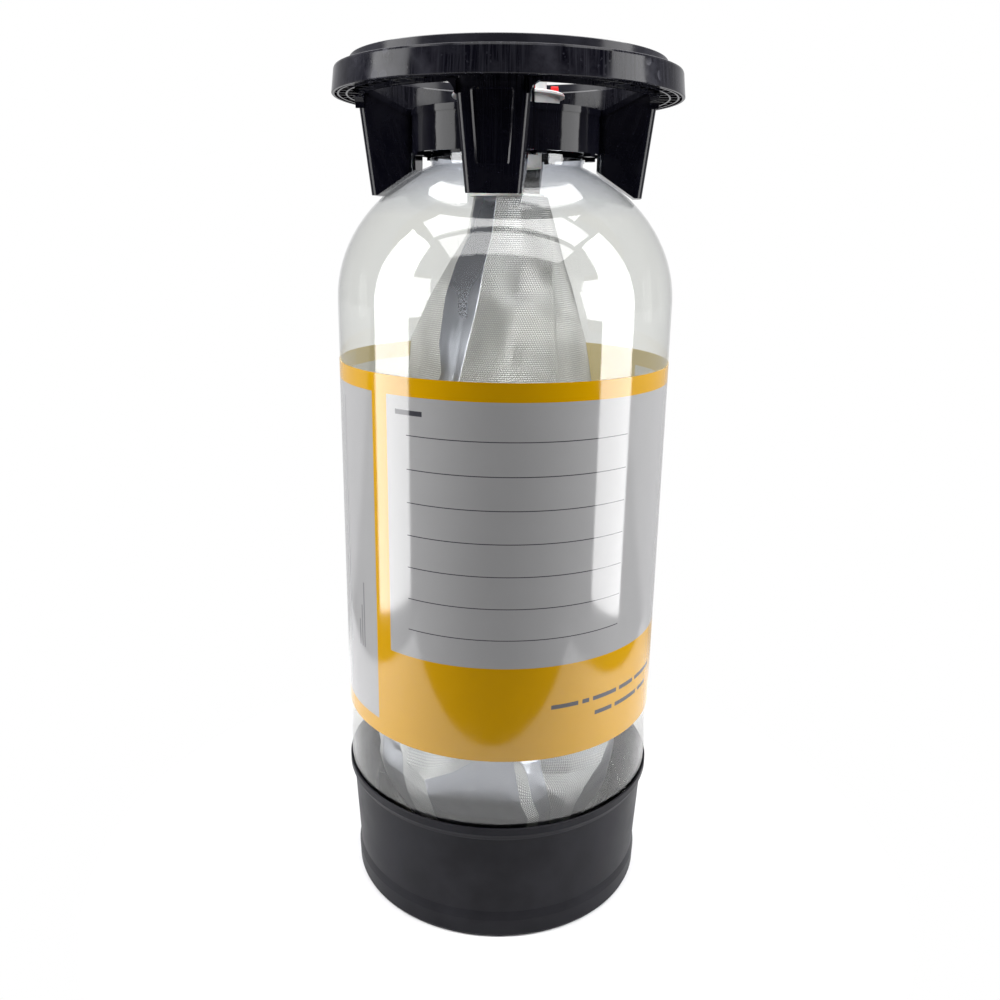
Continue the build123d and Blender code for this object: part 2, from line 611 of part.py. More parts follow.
def make_relief_plug():
    """Red relief plug: a head above the flange, and a foot that seals under it."""
    stem = upright(RELIEF_STEM_R, RELIEF_FOOT_LOW_Z, RELIEF_HEAD_LOW_Z + 0.5)
    foot = upright(RELIEF_FOOT_R, RELIEF_FOOT_LOW_Z, RELIEF_FOOT_TOP_Z)
    cap = upright(RELIEF_POCKET_R, RELIEF_HEAD_LOW_Z, RELIEF_HEAD_LOW_Z + 1.0)
    head_height = RELIEF_HEAD_TOP_Z - RELIEF_HEAD_LOW_Z
    head_middle_z = (RELIEF_HEAD_LOW_Z + RELIEF_HEAD_TOP_Z) / 2
    head = Pos(RELIEF_HEAD_X, 0, head_middle_z) * Box(5.0, 5.0, head_height)
    head = fillet(head.edges().group_by(Axis.Z)[-1], 0.5)
    return stem + foot + cap + head


def make_relief_spring():
    low_z = RELIEF_POCKET_Z + RUNNING_GAP
    high_z = RELIEF_HEAD_LOW_Z - RUNNING_GAP
    return Pos(RELIEF_X, 0, 0) * coil_spring(1.75, 0.22, low_z, high_z, 3)


def make_relief_seal():
    high_z = FLANGE_LOW_Z - SEAL_GAP
    return Pos(RELIEF_X, 0, 0) * ring(RELIEF_STEM_R, RELIEF_FOOT_R, RELIEF_FOOT_TOP_Z, high_z)


def make_gas_spring():
    low_z = CAGE_FLOOR_Z + RUNNING_GAP
    return coil_spring(16.0, 0.9, low_z, GAS_DISC_LOW_Z - RUNNING_GAP, 6)


def make_beer_spring():
    low_z = RETAINER_TOP_Z + RUNNING_GAP
    return coil_spring(5.6, 0.5, low_z, PLUNGER_DISC_LOW_Z - RUNNING_GAP, 7)


# ---- Assembly ------------------------------------------------------------------------------
os.makedirs("parts", exist_ok=True)
save("pet_bottle", make_bottle())
save("base_cup", make_base_cup())
save("label_wrap", make_label())
save("inner_bag", make_bag())
save("bag_spout", make_bag_spout())
save("flow_tube", make_flow_tube())
for piece_name, piece in split_handle().items():
    save(piece_name, piece)
save("closure_cap", make_closure())
save("valve_body", make_valve_body())
save("gas_valve", make_gas_valve())
save("beer_plunger", make_beer_plunger())
save("spring_retainer", make_spring_retainer())
save("relief_plug", make_relief_plug())
save("relief_spring", make_relief_spring())
save("relief_seal", make_relief_seal())
save("neck_gasket", ring(NECK_BORE_R, NECK_R + 0.6, NECK_TOP_Z, FLANGE_LOW_Z))
save("body_seal", ring(CAGE_BORE_R, CAGE_R, NECK_TOP_Z, FLANGE_LOW_Z))
save("gas_seal", ring(GAS_HUB_R, GAS_DISC_R, GAS_DISC_TOP_Z, FLANGE_LOW_Z - SEAL_GAP))
save("beer_seal", ring(PLUNGER_HEAD_R, PLUNGER_DISC_R, PLUNGER_DISC_TOP_Z, GAS_LEDGE_Z - SEAL_GAP))
save("gas_spring", make_gas_spring())
save("beer_spring", make_beer_spring())
save("sleeve_o_ring", o_ring(BEER_TUBE_R - O_RING_R, O_RING_R, TOP_O_RING_Z))
save("spout_o_ring", o_ring(BEER_TUBE_R - O_RING_R, O_RING_R, LOW_O_RING_Z))
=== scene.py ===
import math

import bpy
import numpy as np
from mathutils import Matrix, Vector


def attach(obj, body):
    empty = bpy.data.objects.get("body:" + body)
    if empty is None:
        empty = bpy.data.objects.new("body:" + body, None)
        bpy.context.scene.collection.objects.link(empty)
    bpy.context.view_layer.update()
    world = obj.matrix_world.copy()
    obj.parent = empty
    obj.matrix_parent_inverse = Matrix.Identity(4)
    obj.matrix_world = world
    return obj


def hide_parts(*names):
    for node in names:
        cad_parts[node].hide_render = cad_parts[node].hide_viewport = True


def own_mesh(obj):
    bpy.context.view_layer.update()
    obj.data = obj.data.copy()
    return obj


# One-way beer keg: a clear PET bottle with a silver film bag inside, on a black base cup,
# with a black carrying ring, a white closure and a printed label. Metres, +Z up.

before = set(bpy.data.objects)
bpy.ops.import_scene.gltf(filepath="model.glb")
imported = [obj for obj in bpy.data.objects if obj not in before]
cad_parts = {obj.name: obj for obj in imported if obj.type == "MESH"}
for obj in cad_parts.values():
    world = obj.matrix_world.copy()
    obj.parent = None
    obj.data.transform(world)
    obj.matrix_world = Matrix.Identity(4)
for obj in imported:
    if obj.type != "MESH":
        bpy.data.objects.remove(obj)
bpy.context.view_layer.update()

# ---- Camera ---------------------------------------------------------------------------------
CAMERA_PLACE = (0.0651, -0.6906, 0.5071)
CAMERA_AZIMUTH = 5.5
CAMERA_PITCH = 16.29
CAMERA_ROLL = 0.88
CAMERA_LENS = 33.9


def make_camera():
    data = bpy.data.cameras.new("camera")
    data.lens = CAMERA_LENS
    data.sensor_width = 36.0
    data.clip_start = 0.01
    camera = bpy.data.objects.new("camera", data)
    turn = Matrix.Rotation(math.radians(CAMERA_AZIMUTH), 4, "Z")
    tilt = Matrix.Rotation(math.radians(90 - CAMERA_PITCH), 4, "X")
    roll = Matrix.Rotation(math.radians(CAMERA_ROLL), 4, "Z")
    camera.matrix_world = Matrix.Translation(CAMERA_PLACE) @ turn @ tilt @ roll
    bpy.context.scene.collection.objects.link(camera)
    bpy.context.scene.camera = camera


# ---- Label layout: azimuths in degrees from the front towards +X, heights in mm --------------
NOTES_PANEL = (-34.0, 124.0, 221.0, 401.6)
SIDE_PANEL = (-150.0, -41.0, 162.5, 401.6)
RULE_TOP_Z = 376.5
RULE_PITCH = 22.5
RULE_COUNT = 7
RULE_WIDTH = 0.62
RULE_ENDS = (-26.0, 48.8)
HEADING_BAR = (-30.3, -20.2, 389.6, 392.9)
SLOGAN_BARS = (
    (23.0, 33.0, 188.2, 191.4), (34.6, 37.4, 188.2, 191.4), (39.0, 50.0, 188.2, 191.4),
    (51.6, 60.0, 188.2, 191.4), (61.6, 76.0, 188.2, 191.4), (40.0, 48.0, 176.6, 179.8),
    (49.6, 63.0, 176.6, 179.8), (64.6, 72.0, 176.6, 179.8),
)
SIDE_RULES = (
    (-61.9, -61.3, 207.0, 392.0), (-64.9, -64.4, 240.0, 392.0),
    (-51.2, -50.4, 212.0, 244.0), (-49.6, -48.8, 212.0, 262.0), (-53.0, -52.2, 212.0, 232.0),
)
LABEL_WHITE = (0.240, 0.240, 0.242, 1.0)
LABEL_YELLOW = (0.385, 0.205, 0.0005, 1.0)
LABEL_INK = (0.030, 0.030, 0.036, 1.0)
# Inner face tints, brightened as painted light through the film, and also the colour of its painted
# glow.
INNER_FACE_YELLOW_GLOW = (0.62, 0.52, 0.29, 1.0)
INNER_FACE_WHITE_GLOW = (0.66, 0.66, 0.64, 1.0)

# Painted glow on the label's inner face, standing in for light that comes through the thin film from
# outside: its tints glow at this strength.
INNER_FACE_PAINTED_GLOW = 0.55

# ---- Bag: folds as (azimuth, radius in mm) down each of 18 creases, from the top --------------
FILM_MAP = "film"
FINISH_MAP = "finish"
EMBOSS_PITCH = 0.0017
EMBOSS_HEIGHT = 0.00060
BAG_ROWS = (
    (526, (-136, -112, -84, -64, -49, -27, -11, 8, 23, 40, 59, 69, 78, 87, 98, 130, 167, 199),
     (24, 24, 23, 22, 22, 22, 24, 25, 27, 27, 27, 27, 27, 28, 29, 27, 25, 26)),
    (500, (-139, -113, -89, -69, -52, -28, -13, 7, 24, 40, 57, 64, 76, 88, 100, 131, 165, 196),
     (31, 30, 28, 27, 26, 27, 31, 32, 35, 37, 38, 37, 36, 36, 37, 34, 34, 33)),
    (480, (-137, -110, -89, -73, -59, -32, -17, 2, 20, 34, 49, 56, 71, 84, 101, 132, 166, 197),
     (41, 41, 41, 37, 34, 34, 38, 38, 41, 43, 47, 43, 41, 42, 43, 42, 42, 41)),
    (463, (-135, -110, -89, -77, -64, -37, -19, -1, 16, 33, 46, 54, 69, 84, 100, 130, 166, 198),
     (49, 51, 51, 46, 43, 40, 42, 42, 44, 46, 50, 46, 45, 47, 49, 49, 49, 47)),
    (456, (-134, -109, -89, -78, -64, -39, -20, -2, 15, 30, 46, 53, 69, 85, 100, 131, 166, 199),
     (51, 55, 55, 49, 45, 42, 43, 44, 48, 50, 51, 47, 46, 48, 51, 50, 50, 48)),
    (426, (-131, -107, -89, -78, -64, -42, -26, -7, 11, 30, 45, 53, 68, 84, 100, 131, 166, 200),
     (62, 67, 69, 59, 51, 47, 49, 48, 50, 51, 55, 50, 51, 55, 60, 60, 59, 57)),
    (405, (-132, -109, -89, -77, -64, -43, -29, -9, 9, 28, 45, 53, 67, 83, 100, 131, 165, 200),
     (67, 71, 71, 62, 54, 51, 54, 52, 53, 54, 57, 52, 53, 58, 64, 64, 64, 62)),
    (340, (-138, -111, -86, -71, -57, -41, -27, -10, 6, 22, 36, 45, 60, 76, 92, 122, 155, 192),
     (79, 80, 79, 75, 70, 69, 72, 70, 71, 72, 74, 70, 70, 73, 76, 77, 77, 76)),
    (250, (-144, -112, -83, -66, -52, -38, -26, -12, 2, 14, 24, 34, 49, 66, 84, 111, 144, 182),
     (91, 89, 91, 88, 86, 87, 88, 86, 88, 89, 90, 87, 88, 89, 90, 88, 90, 88)),
    (162, (-150, -112, -80, -62, -47, -36, -28, -14, -4, 3, 9, 19, 37, 56, 75, 100, 132, 172),
     (99, 96, 99, 98, 94, 100, 97, 99, 96, 100, 99, 94, 100, 96, 99, 96, 99, 95)),
    (141, (-150, -112, -80, -62, -47, -36, -27, -14, -3, 7, 13, 22, 38, 59, 75, 100, 132, 172),
     (97, 99, 97, 101, 94, 100, 97, 99, 102, 103, 102, 94, 101, 102, 95, 99, 96, 99)),
    (128, (-150, -112, -80, -61, -46, -36, -26.5, -14, -3.5, 9, 15, 24, 38, 57, 75, 100, 132, 172),
     (99, 96, 100, 98, 95, 102, 99, 102, 102, 101, 103, 95, 100, 104, 95, 97, 101, 96)),
    (120, (-150, -112, -80, -61, -45, -36, -25.5, -13, -3, 11, 17, 26, 37, 53, 74, 100, 132, 172),
     (99, 97, 99, 98, 94, 99, 104, 101, 101, 102, 103, 94, 99, 104, 96, 98, 100, 96)),
    (104, (-150, -112, -80, -60, -43, -34, -23.5, -11, 2, 15, 20.5, 28.5, 36, 45, 70, 100, 132, 172),
     (97, 99, 96, 99, 96, 99, 104, 99.5, 99.5, 103, 102, 95, 101, 101, 97, 97, 100, 98)),
    (90, (-150, -112, -80, -60, -42, -33, -22.8, -10, 5, 18.5, 24, 31, 36, 43, 68, 100, 132, 172),
     (96, 95, 97, 96, 93, 97, 100, 98, 98, 100, 98, 93, 97, 97, 95, 96, 95, 97)),
    (73, (-150, -112, -80, -60, -42, -33, -22, -10, 5, 19, 25, 32, 37, 44, 68, 100, 132, 172),
     (90, 88, 90, 89, 87, 90, 92, 90, 90, 92, 90, 87, 90, 90, 88, 89, 88, 90)),
    (55, (-150, -112, -80, -60, -42, -33, -22, -10, 5, 19, 25, 32, 37, 44, 68, 100, 132, 172),
     (79, 77, 79, 78, 77, 79, 80, 79, 79, 80, 79, 77, 79, 79, 78, 78, 77, 79)),
    (41, (-150, -112, -80, -60, -42, -33, -22, -10, 5, 19, 25, 32, 37, 44, 68, 100, 132, 172),
     (60, 59, 60, 59, 59, 60, 61, 60, 60, 61, 60, 59, 60, 60, 59, 59, 59, 60)),
    (35, (-150, -112, -80, -60, -42, -33, -22, -10, 5, 19, 25, 32, 37, 44, 68, 100, 132, 172),
     (30, 30, 30, 30, 30, 30, 30, 30, 30, 30, 30, 30, 30, 30, 30, 30, 30, 30)),
)
# How far each crease is lifted at the rows that carry the slanting fold below the label.
BAG_LIFTS = {
    141: (0, 0, 0, 0, 0, 0, 0, 3, 9, 10, 4, 0, 0, 0, 0, 0, 0, 0),
    128: (0, 0, 0, 0, -3, -7, -7, 4, 18, 20, 10, 6, 4, 2, 0, 0, 0, 0),
    120: (0, 0, 0, 0, 0, -1, -4, 7, 21, 26, 10, 2, 0, 0, 0, 0, 0, 0),
}
BAG_STEPS = 12
FILM_THICK = 0.0003
FILM_BULGE = 0.018

# The fold at the upper left hangs flat between two creases, down to this row. Its smooth part
# starts at a share of its width that grows downwards, and has two faint creases of its own.
FLAT_ROWS = 7
FLAT_CREASES = (2, 6)
FLAT_START_ZS = (0.405, 0.440, 0.500)
FLAT_START_SHARES = (0.66, 0.42, 0.10)
FLAT_INNER_CREASES = ((3, 0.0), (4, 0.38), (5, 0.7))
FLAT_RIDGE = (5, 4, 1.006)
FLAT_SLACK = 0.1

# Crumples grow down the film: metres from the top, and their share of the full height.
CRUMPLE_STARTS = (0.02, 0.12, 0.20, 0.36)
CRUMPLE_SHARES = (0.0, 0.45, 0.75, 0.95)
CRUMPLE_SEAM = 0.02
CRUMPLE_FLOOR_Z = 0.034
CRUMPLE_FLOOR_RISE = 0.03

# The texture's origin lies on this crease, at the front.
MAP_CREASE = 8

# Rims that close the bag: its top ring onto the spout, and its bottom ring to the middle.
TOP_RIM = (0.0095, 0.5255)
BOTTOM_RIM = (0.0008, 0.0345)

# Smooth, unembossed folds as (first row, last row, first crease, last crease).
SMOOTH_FOLDS = (
    (0, 6, 3, 5), (10, 18, 10, 10), (12, 18, 6, 8), (9, 18, 3, 3), (11, 18, 13, 14),
    (0, 8, 15, 15), (9, 18, 16, 16), (0, 9, 0, 0),
)
# Foil crumple waves: (direction in degrees, wavelength mm, height mm, phase, wander).
CRUMPLES = (
    (22, 31, 0.50, 0.10, 0.9), (71, 23, 0.34, 0.55, 1.3), (118, 37, 0.46, 0.35, 0.7),
    (163, 17, 0.22, 0.80, 1.1),
)


# ---- Node helpers ---------------------------------------------------------------------------
class Graph:
    """A material's node tree, with short calls to add and join its nodes."""

    def __init__(self, name):
        self.material = bpy.data.materials.new(name)
        self.material.use_nodes = True
        self.tree = self.material.node_tree
        self.tree.nodes.clear()
        self.output = self.tree.nodes.new("ShaderNodeOutputMaterial")

    def add(self, kind, settings=None, **inputs):
        """A new node; settings are its properties, and inputs are values or sockets."""
        node = self.tree.nodes.new("ShaderNode" + kind)
        for key, value in (settings or {}).items():
            setattr(node, key, value)
        for key, value in inputs.items():
            self.put(node.inputs[key.replace("_", " ")], value)
        return node

    def put(self, socket, value):
        if isinstance(value, bpy.types.NodeSocket):
            self.tree.links.new(value, socket)
        else:
            socket.default_value = value

    def math(self, operation, first, second=None, third=None):
        node = self.tree.nodes.new("ShaderNodeMath")
        node.operation = operation
        for socket, value in zip(node.inputs, (first, second, third), strict=True):
            if value is not None:
                self.put(socket, value)
        return node.outputs[0]

    def mix(self, factor, first, second):
        """A blend of two colours."""
        node = self.tree.nodes.new("ShaderNodeMix")
        node.data_type = "RGBA"
        self.put(node.inputs["Factor"], factor)
        self.put(node.inputs["A"], first)
        self.put(node.inputs["B"], second)
        return node.outputs["Result"]

    def ramp(self, value, start, end, low=0.0, high=1.0):
        """Low at the start and high at the end, straight between them and level beyond."""
        node = self.add("MapRange", Value=value)
        node.clamp = True
        node.inputs["From Min"].default_value = start
        node.inputs["From Max"].default_value = end
        node.inputs["To Min"].default_value = low
        node.inputs["To Max"].default_value = high
        return node.outputs["Result"]

    def noise(self, scale, detail=3.0, roughness=0.5, vector=None):
        node = self.add("TexNoise", Scale=scale, Detail=detail, Roughness=roughness)
        self.put(node.inputs["Vector"], vector or self.place())
        return node.outputs["Fac"]

    def place(self):
        """Position on the part, which is its own frame at rest."""
        return self.add("TexCoord").outputs["Object"]

    def axes(self):
        parts = self.add("SeparateXYZ", Vector=self.place())
        return parts.outputs["X"], parts.outputs["Y"], parts.outputs["Z"]

    def bump(self, height, strength, distance):
        node = self.add("Bump", Height=height, Strength=strength, Distance=distance)
        return node.outputs["Normal"]

    def finish(self, shader):
        self.tree.links.new(shader, self.output.inputs["Surface"])
        return self.material


def rgba(r, g, b):
    return (r, g, b, 1.0)


# ---- Materials ------------------------------------------------------------------------------
def moulded_plastic(name, colour, roughness, coarse, smudge=0.0, translucent=0.0, gloss=0.5):
    """Injection-moulded plastic: faint flow marks, fine grain, and optional handling smudges."""
    g = Graph(name)
    flow = g.noise(38.0, 4.0)
    grain = g.noise(coarse, 2.0)
    darker = tuple(c * 0.82 for c in colour)
    lighter = tuple(min(c * 1.16 + 0.003, 1.0) for c in colour)
    tint = g.mix(g.ramp(flow, 0.35, 0.65), rgba(*darker), rgba(*lighter))
    marks = g.ramp(g.noise(21.0, 5.0, 0.65), 0.48, 0.72, 0.0, smudge)
    rough = g.math("ADD", g.ramp(flow, 0.2, 0.8, roughness * 0.85, roughness * 1.2), marks)
    bump = g.bump(grain, 0.12, 0.0002)
    shader = g.add("BsdfPrincipled", Base_Color=tint, Roughness=rough, Normal=bump)
    shader.inputs["Specular IOR Level"].default_value = gloss
    if translucent:
        shader.inputs["Subsurface Weight"].default_value = translucent
        shader.inputs["Subsurface Scale"].default_value = 0.004
    return g.finish(shader.outputs[0])


def gloss_black():
    """Gloss black plastic that has been handled: dust, dried splashes and fine upright rubs."""
    g = Graph("handle_plastic")
    x, y, z = g.axes()
    turn = g.math("ARCTAN2", x, g.math("MULTIPLY", y, -1.0))
    stretched = g.add("CombineXYZ", X=g.math("MULTIPLY", turn, 9.0), Z=g.math("MULTIPLY", z, 2.5))
    rubs = g.ramp(g.noise(9.0, 4.0, 0.6, stretched.outputs[0]), 0.42, 0.68)
    cloud = g.ramp(g.noise(34.0, 5.0, 0.62), 0.44, 0.66)
    specks = g.ramp(g.noise(420.0, 2.0), 0.62, 0.74)
    spots = g.add("TexVoronoi", Scale=62.0, Vector=g.place())
    splash = g.math("MULTIPLY", g.ramp(spots.outputs["Distance"], 0.26, 0.20),
                    g.ramp(g.noise(17.0, 2.0), 0.56, 0.62))
    dust = g.math("MAXIMUM", g.math("MULTIPLY", cloud, 0.55), g.math("MULTIPLY", rubs, 0.45))
    dust = g.math("MAXIMUM", dust, g.math("MULTIPLY", splash, 0.9))
    dust = g.math("MAXIMUM", dust, g.math("MULTIPLY", specks, 0.5))
    band = g.ramp(z, 0.584, 0.590)
    dust = g.math("MULTIPLY", dust, g.math("MULTIPLY_ADD", band, 0.8, 0.2))
    lip = g.math("MULTIPLY", g.ramp(z, 0.6062, 0.6075), 0.7)
    dust = g.math("MAXIMUM", dust, g.math("MULTIPLY", lip, g.ramp(cloud, 0.0, 1.0, 0.6, 1.0)))
    tint = g.mix(dust, rgba(0.0018, 0.0018, 0.0038), rgba(0.032, 0.032, 0.040))
    rough = g.ramp(dust, 0.0, 1.0, 0.07, 0.30)
    bump = g.bump(g.math("ADD", g.noise(26.0, 2.0), g.math("MULTIPLY", specks, 0.02)), 0.25, 0.0016)
    shader = g.add("BsdfPrincipled", Base_Color=tint, Roughness=rough, Normal=bump)
    shader.inputs["Specular IOR Level"].default_value = 0.15
    return g.finish(shader.outputs[0])


def clear_pet():
    """Thin clear PET: see-through, with a mirror share that grows towards the edges."""
    g = Graph("clear_pet")
    facing = g.add("LayerWeight", Blend=0.5).outputs["Facing"]
    edge = g.math("POWER", facing, 5.0)
    share = g.math("MULTIPLY_ADD", edge, 0.60, 0.040)
    ripple = g.bump(g.noise(9.0, 2.0), 0.10, 0.0012)
    # The see-through tint darkens towards the neck, below the collar.
    toward_neck = g.ramp(g.axes()[2], 0.512, 0.545)
    tint = g.mix(toward_neck, rgba(0.935, 0.938, 0.930), rgba(0.84, 0.85, 0.87))
    clear = g.add("BsdfTransparent", Color=tint)
    mirror = g.add("BsdfGlossy", Color=rgba(1, 1, 1), Roughness=0.03, Normal=ripple)
    shader = g.add("MixShader")
    g.put(shader.inputs[0], share)
    g.put(shader.inputs[1], clear.outputs[0])
    g.put(shader.inputs[2], mirror.outputs[0])
    return g.finish(shader.outputs[0])


def rubber():
    g = Graph("elastomer")
    grain = g.noise(900.0, 2.0)
    tint = g.mix(g.noise(60.0), rgba(0.012, 0.012, 0.012), rgba(0.028, 0.028, 0.029))
    shader = g.add("BsdfPrincipled", Base_Color=tint, Roughness=0.62)
    g.put(shader.inputs["Normal"], g.bump(grain, 0.2, 0.0001))
    return g.finish(shader.outputs[0])


def spring_wire():
    g = Graph("spring_wire")
    drawn = g.noise(400.0, 2.0)
    tint = g.mix(drawn, rgba(0.46, 0.46, 0.47), rgba(0.66, 0.66, 0.67))
    rough = g.ramp(drawn, 0.3, 0.7, 0.22, 0.38)
    shader = g.add("BsdfPrincipled", Base_Color=tint, Roughness=rough, Metallic=1.0)
    return g.finish(shader.outputs[0])


def label_print():
    """Printed film wrap: yellow bands, white panels, ruled lines and plain bars for text; its inner
    face carries a painted glow.
    """
    g = Graph("label_print")
    x, y, z = g.axes()
    around = g.math("MULTIPLY", g.math("ARCTAN2", x, g.math("MULTIPLY", y, -1.0)), 180 / math.pi)
    height = g.math("MULTIPLY", z, 1000.0)

    def between(value, low, high):
        over = g.math("GREATER_THAN", value, low)
        return g.math("MULTIPLY", over, g.math("LESS_THAN", value, high))

    def block(left, right, low, high):
        return g.math("MULTIPLY", between(around, left, right), between(height, low, high))

    def either(first, second):
        return g.math("MAXIMUM", first, second)

    panels = either(block(*NOTES_PANEL), block(*SIDE_PANEL))
    step = g.math("DIVIDE", g.math("SUBTRACT", RULE_TOP_Z, height), RULE_PITCH)
    off_line = g.math("ABSOLUTE", g.math("SUBTRACT", step, g.math("ROUND", step)))
    rule = g.math("LESS_THAN", off_line, 0.5 * RULE_WIDTH / RULE_PITCH)
    low_rule = RULE_TOP_Z - (RULE_COUNT - 0.5) * RULE_PITCH
    rules = g.math("MULTIPLY", rule, block(*RULE_ENDS, low_rule, RULE_TOP_Z + RULE_PITCH / 2))
    bars = block(*HEADING_BAR)
    for bar in SLOGAN_BARS:
        bars = either(bars, block(*bar))
    side_bars = block(*SIDE_RULES[0])
    for bar in SIDE_RULES[1:]:
        side_bars = either(side_bars, block(*bar))

    mottle = g.noise(30.0, 3.0)
    white = g.mix(mottle, LABEL_WHITE, tuple(c * 0.94 for c in LABEL_WHITE[:3]) + (1.0,))
    yellow = g.mix(mottle, LABEL_YELLOW, tuple(c * 0.93 for c in LABEL_YELLOW[:3]) + (1.0,))
    print_tint = g.mix(panels, yellow, white)
    print_tint = g.mix(g.math("MULTIPLY", side_bars, 0.45), print_tint, LABEL_INK)
    print_tint = g.mix(g.math("MAXIMUM", rules, bars), print_tint, LABEL_INK)

    normal = g.add("SeparateXYZ", Vector=g.add("TexCoord").outputs["Normal"])
    outward = g.math("MULTIPLY", x, normal.outputs["X"])
    outward = g.math("MULTIPLY_ADD", y, normal.outputs["Y"], outward)
    inside = g.math("LESS_THAN", outward, 0.0)
    inner_tint_and_glow = g.mix(panels, INNER_FACE_YELLOW_GLOW, INNER_FACE_WHITE_GLOW)
    tint = g.mix(inside, print_tint, inner_tint_and_glow)
    ripple = g.bump(g.noise(16.0, 2.0), 0.08, 0.0010)
    rough = g.ramp(g.noise(55.0), 0.3, 0.7, 0.065, 0.11)
    shader = g.add("BsdfPrincipled", Base_Color=tint, Roughness=rough, Normal=ripple)
    # Painted glow: the inner face emits its tints, standing in for light through the film.
    g.put(shader.inputs["Emission Color"], inner_tint_and_glow)
    g.put(shader.inputs["Emission Strength"], g.math("MULTIPLY", inside, INNER_FACE_PAINTED_GLOW))
    return g.finish(shader.outputs[0])


def bag_film():
    """Metallised film: embossed cells on most folds, each with a painted highlight in its middle and
    painted shade at its rim, and smooth shiny folds between.
    """
    g = Graph("bag_film")
    cells = g.add("UVMap", {"uv_map": FILM_MAP}).outputs["UV"]
    finish = g.add("UVMap", {"uv_map": FINISH_MAP}).outputs["UV"]
    embossed = g.add("SeparateXYZ", Vector=finish).outputs["X"]
    flat = g.add("SeparateXYZ", Vector=cells)
    across = g.math("DIVIDE", flat.outputs["X"], EMBOSS_PITCH)
    down = g.math("DIVIDE", flat.outputs["Y"], EMBOSS_PITCH * 0.866)
    row = g.math("FLOOR", down)
    shifted = g.math("MULTIPLY_ADD", row, 0.5, across)
    dx = g.math("SUBTRACT", g.math("FRACT", shifted), 0.5)
    dy = g.math("MULTIPLY", g.math("SUBTRACT", g.math("FRACT", down), 0.5), 0.866)
    far = g.math("SQRT", g.math("MULTIPLY_ADD", dx, dx, g.math("MULTIPLY", dy, dy)))
    shape = g.ramp(far, 0.10, 0.50, 1.0, 0.0)
    worn = g.ramp(g.noise(24.0, 2.0), 0.35, 0.65, 0.55, 1.0)
    cell = g.math("MULTIPLY", g.math("MULTIPLY", shape, embossed), worn)
    normal = g.bump(cell, 1.0, EMBOSS_HEIGHT)
    low = g.ramp(g.axes()[2], 0.30, 0.20)
    smooth_tint = g.mix(g.noise(20.0), rgba(0.27, 0.28, 0.31), rgba(0.33, 0.34, 0.38))
    cell_tint_and_highlight = g.mix(g.noise(60.0), rgba(0.37, 0.37, 0.367), rgba(0.47, 0.47, 0.46))
    cell_tint_and_highlight = g.mix(low, cell_tint_and_highlight, rgba(0.40, 0.41, 0.43))
    # Painted highlight: each cell is lightened towards its middle, which leaves painted shade at its
    # rim.
    cell_tint_and_highlight = g.mix(g.math("MULTIPLY", shape, 0.85), cell_tint_and_highlight, rgba(0.70, 0.70, 0.69))
    tint = g.mix(embossed, smooth_tint, cell_tint_and_highlight)
    gloss = g.ramp(g.noise(14.0, 1.0), 0.3, 0.7, 0.24, 0.30)
    gloss = g.math("MULTIPLY_ADD", low, 0.10, gloss)
    rough = g.math("MULTIPLY_ADD", embossed, 0.06, gloss)
    metal = g.ramp(embossed, 0.0, 1.0, 0.92, 0.80)
    shader = g.add("BsdfPrincipled", Base_Color=tint, Roughness=rough, Metallic=metal,
                   Normal=normal)
    return g.finish(shader.outputs[0])


# ---- Bag ------------------------------------------------------------------------------------
def fold_points():
    """Crease points as rows from top to bottom, each around the bag, in metres."""
    rows = []
    for z, azimuths, radii in BAG_ROWS:
        lifts = BAG_LIFTS.get(z, (0,) * len(radii))
        turn = np.radians(np.array(azimuths, float))
        r = np.array(radii, float)
        heights = z + np.array(lifts, float)
        rows.append(np.stack([r * np.sin(turn), -r * np.cos(turn), heights], axis=-1) / 1000)
    rows = np.array(rows)
    first, last = FLAT_CREASES
    for row in rows[:FLAT_ROWS]:
        start = np.interp(row[first, 2], FLAT_START_ZS, FLAT_START_SHARES)
        for crease, step in FLAT_INNER_CREASES:
            share = start + (1 - start) * step
            row[crease] = row[first] * (1 - share) + row[last] * share
    ridge_row, ridge_crease, swell = FLAT_RIDGE
    rows[ridge_row:FLAT_ROWS, ridge_crease, :2] *= swell
    return rows


def film_slack(row_count, crease_count):
    """How slack the film is at each step down the bag and in each fold: 1, or less where flat."""
    slack = np.ones((row_count - 1, crease_count))
    slack[:FLAT_ROWS - 1, FLAT_CREASES[0]:FLAT_CREASES[1]] = FLAT_SLACK
    return np.append(np.repeat(slack, BAG_STEPS, axis=0), slack[-1:], axis=0)


def crumple(u, v):
    """Height of the foil's crumples in metres, at points measured along the film in mm."""
    height = np.zeros_like(u)
    for degrees, wavelength, size, phase, wander in CRUMPLES:
        turn = math.radians(degrees)
        along = u * math.cos(turn) + v * math.sin(turn)
        across = v * math.cos(turn) - u * math.sin(turn)
        swing = wander * np.sin(across / (wavelength * 0.9) + phase * 9)
        wave = along / wavelength + phase + 0.22 * swing
        height += size * (np.abs((wave % 1.0) * 2 - 1) - 0.5)
    return height / 1000


